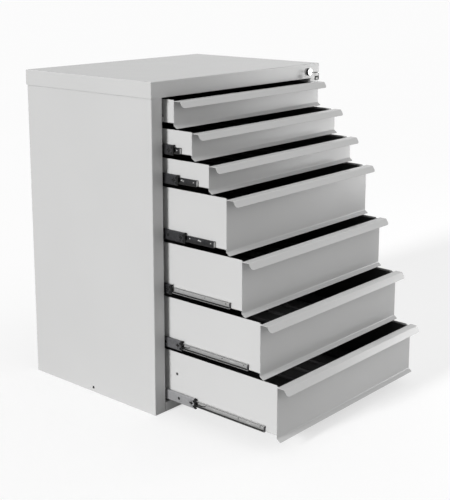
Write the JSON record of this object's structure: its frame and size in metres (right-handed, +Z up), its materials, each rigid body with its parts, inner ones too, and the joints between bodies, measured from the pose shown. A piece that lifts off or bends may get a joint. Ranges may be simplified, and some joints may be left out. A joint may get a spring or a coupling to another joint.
{
  "type": "microscope slide cabinet",
  "caption": "Steel cabinet for microscope slides: shallow and deep drawers with gull-lip fronts on telescopic ball runners, black row trays and a central key lock.",
  "frame": {"origin": "centre of the carcass footprint on the floor, under the middle of the base tray", "axes": "+Z up, +Y towards the back panel, so the drawers pull out towards -Y, and +X to the right of someone facing the drawers"},
  "size_m": [0.795, 1.0125, 1],
  "materials": {
    "grey_powder_coat": "satin light grey powder coat",
    "zinc_steel": "bright zinc plate",
    "dark_zinc": "dark zinc plate",
    "chrome": "polished",
    "black_plastic": "matt black"
  },
  "bodies": {
    "cabinet": {"top_cover": "grey_powder_coat", "side_panel_left": "grey_powder_coat", "side_panel_right": "grey_powder_coat", "back_panel": "grey_powder_coat", "base_tray": "grey_powder_coat", "front_upright_left": "zinc_steel", "front_upright_right": "zinc_steel", "rear_upright_left": "zinc_steel", "rear_upright_right": "zinc_steel", "cabinet_members": "zinc_steel", "lock_barrel": "chrome", "lock_nut": "zinc_steel"},
    "key": {"lock_plug": "chrome", "lock_cam": "zinc_steel", "key": "zinc_steel"},
    "key_ring": {"key_ring": "zinc_steel"},
    "spare_key": {"spare_key": "black_plastic"},
    "locking_bar": {"locking_bar": "zinc_steel"},
    "mid_1": {"mid_members_1": "dark_zinc", "mid_catches_1": "black_plastic"},
    "drawer_1": {"drawer_front_1": "grey_powder_coat", "drawer_box_1": "grey_powder_coat", "slide_tray_1": "black_plastic", "drawer_members_1": "dark_zinc"},
    "mid_2": {"mid_members_2": "dark_zinc", "mid_catches_2": "black_plastic"},
    "drawer_2": {"drawer_front_2": "grey_powder_coat", "drawer_box_2": "grey_powder_coat", "slide_tray_2": "black_plastic", "drawer_members_2": "dark_zinc"},
    "mid_3": {"mid_members_3": "dark_zinc", "mid_catches_3": "black_plastic"},
    "drawer_3": {"drawer_front_3": "grey_powder_coat", "drawer_box_3": "grey_powder_coat", "slide_tray_3": "black_plastic", "drawer_members_3": "dark_zinc"},
    "mid_4": {"mid_members_4": "dark_zinc", "mid_catches_4": "black_plastic"},
    "drawer_4": {"drawer_front_4": "grey_powder_coat", "drawer_box_4": "grey_powder_coat", "slide_tray_4": "black_plastic", "drawer_members_4": "dark_zinc"},
    "mid_5": {"mid_members_5": "dark_zinc", "mid_catches_5": "black_plastic"},
    "drawer_5": {"drawer_front_5": "grey_powder_coat", "drawer_box_5": "grey_powder_coat", "slide_tray_5": "black_plastic", "drawer_members_5": "zinc_steel"},
    "mid_6": {"mid_members_6": "dark_zinc", "mid_catches_6": "black_plastic"},
    "drawer_6": {"drawer_front_6": "grey_powder_coat", "drawer_box_6": "grey_powder_coat", "slide_tray_6": "black_plastic", "drawer_members_6": "zinc_steel"},
    "mid_7": {"mid_members_7": "dark_zinc", "mid_catches_7": "black_plastic"},
    "drawer_7": {"drawer_front_7": "grey_powder_coat", "drawer_box_7": "grey_powder_coat", "slide_tray_7": "black_plastic", "drawer_members_7": "zinc_steel"}
  },
  "joints": [
    {"name": "key_turn", "type": "hinge", "parent": "cabinet", "child": "key", "pos_m": [0.3375, -0.279, 0.974], "axis": [0, -1, 0], "range_deg": [0, 90]},
    {"name": "ring_swing", "type": "hinge", "parent": "key", "child": "key_ring", "pos_m": [0.3375, -0.3135, 0.976], "axis": [0, 1, 0], "range_deg": [-30, 30]},
    {"name": "spare_key_swing", "type": "hinge", "parent": "key_ring", "child": "spare_key", "pos_m": [0.3375, -0.3135, 0.96], "axis": [0, 1, 0], "range_deg": [-40, 40]},
    {"name": "bar_lift", "type": "slide", "parent": "cabinet", "child": "locking_bar", "axis": [0, 0, 1], "range_m": [0, 0.01]},
    {"name": "runner_1", "type": "slide", "parent": "cabinet", "child": "mid_1", "axis": [0, -1, 0], "range_m": [-0.018, 0.238]},
    {"name": "drawer_1_slide", "type": "slide", "parent": "mid_1", "child": "drawer_1", "axis": [0, -1, 0], "range_m": [-0.0185, 0.2375]},
    {"name": "runner_2", "type": "slide", "parent": "cabinet", "child": "mid_2", "axis": [0, -1, 0], "range_m": [-0.0825, 0.1735]},
    {"name": "drawer_2_slide", "type": "slide", "parent": "mid_2", "child": "drawer_2", "axis": [0, -1, 0], "range_m": [-0.0227, 0.2333]},
    {"name": "runner_3", "type": "slide", "parent": "cabinet", "child": "mid_3", "axis": [0, -1, 0], "range_m": [-0.0995, 0.1565]},
    {"name": "drawer_3_slide", "type": "slide", "parent": "mid_3", "child": "drawer_3", "axis": [0, -1, 0], "range_m": [-0.0696, 0.1864]},
    {"name": "runner_4", "type": "slide", "parent": "cabinet", "child": "mid_4", "axis": [0, -1, 0], "range_m": [-0.126, 0.13]},
    {"name": "drawer_4_slide", "type": "slide", "parent": "mid_4", "child": "drawer_4", "axis": [0, -1, 0], "range_m": [-0.108, 0.148]},
    {"name": "runner_5", "type": "slide", "parent": "cabinet", "child": "mid_5", "axis": [0, -1, 0], "range_m": [-0.0705, 0.1855]},
    {"name": "drawer_5_slide", "type": "slide", "parent": "mid_5", "child": "drawer_5", "axis": [0, -1, 0], "range_m": [-0.2206, 0.0354]},
    {"name": "runner_6", "type": "slide", "parent": "cabinet", "child": "mid_6", "axis": [0, -1, 0], "range_m": [-0.1105, 0.1455]},
    {"name": "drawer_6_slide", "type": "slide", "parent": "mid_6", "child": "drawer_6", "axis": [0, -1, 0], "range_m": [-0.247, 0.009]},
    {"name": "runner_7", "type": "slide", "parent": "cabinet", "child": "mid_7", "axis": [0, -1, 0], "range_m": [-0.163, 0.093]},
    {"name": "drawer_7_slide", "type": "slide", "parent": "mid_7", "child": "drawer_7", "axis": [0, -1, 0], "range_m": [-0.2557, 0.0003]}
  ],
  "couplings": [
    {"joint": "key_turn", "follows": "bar_lift", "rad_per_m": 157.08}
  ]
}
